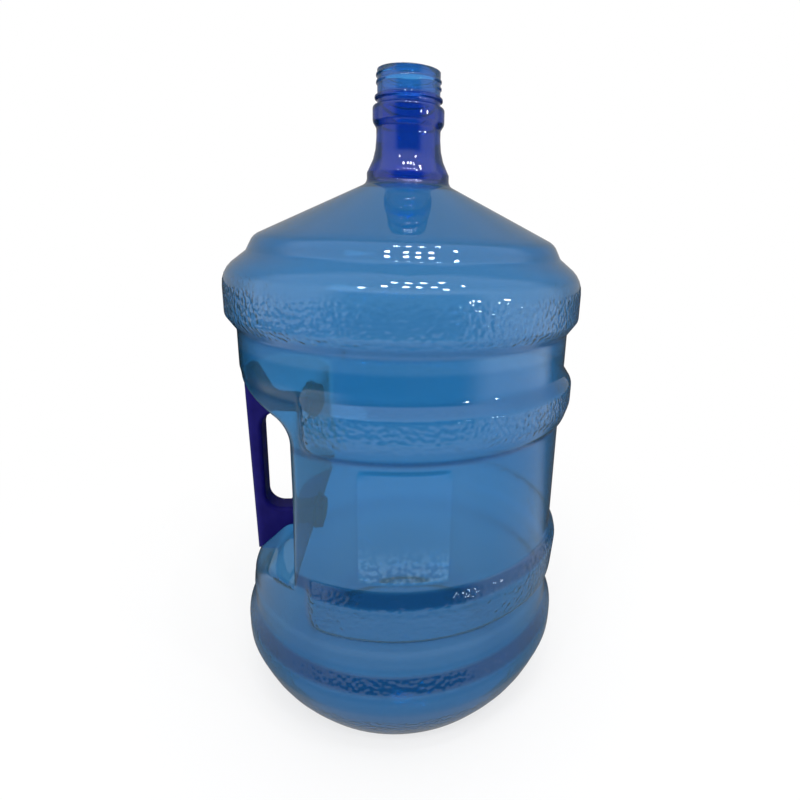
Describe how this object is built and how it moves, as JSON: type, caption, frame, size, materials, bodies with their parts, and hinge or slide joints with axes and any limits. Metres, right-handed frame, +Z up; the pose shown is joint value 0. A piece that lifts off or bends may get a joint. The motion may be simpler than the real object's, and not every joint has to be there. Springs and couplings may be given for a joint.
{
  "type": "pet water jug",
  "caption": "Clear blue PET water bottle for a cooler: ribbed and blown, with a tall screw neck and a separate moulded carrying handle held in a recess of the wall.",
  "frame": {"origin": "on the jug's axis, in the plane that the foot ring stands on", "axes": "+Z up the jug's axis to the mouth, -X towards the handle, so the picture was taken from about -Y"},
  "size_m": [0.278, 0.278, 0.4975],
  "materials": {
    "clear_blue_pet": "transparent tinted PET, glossy, with hammered texture on the rib faces",
    "navy_plastic": "glossy, opaque navy"
  },
  "bodies": {
    "root": {"jug_body": "clear_blue_pet", "handle": "navy_plastic"}
  },
  "joints": []
}
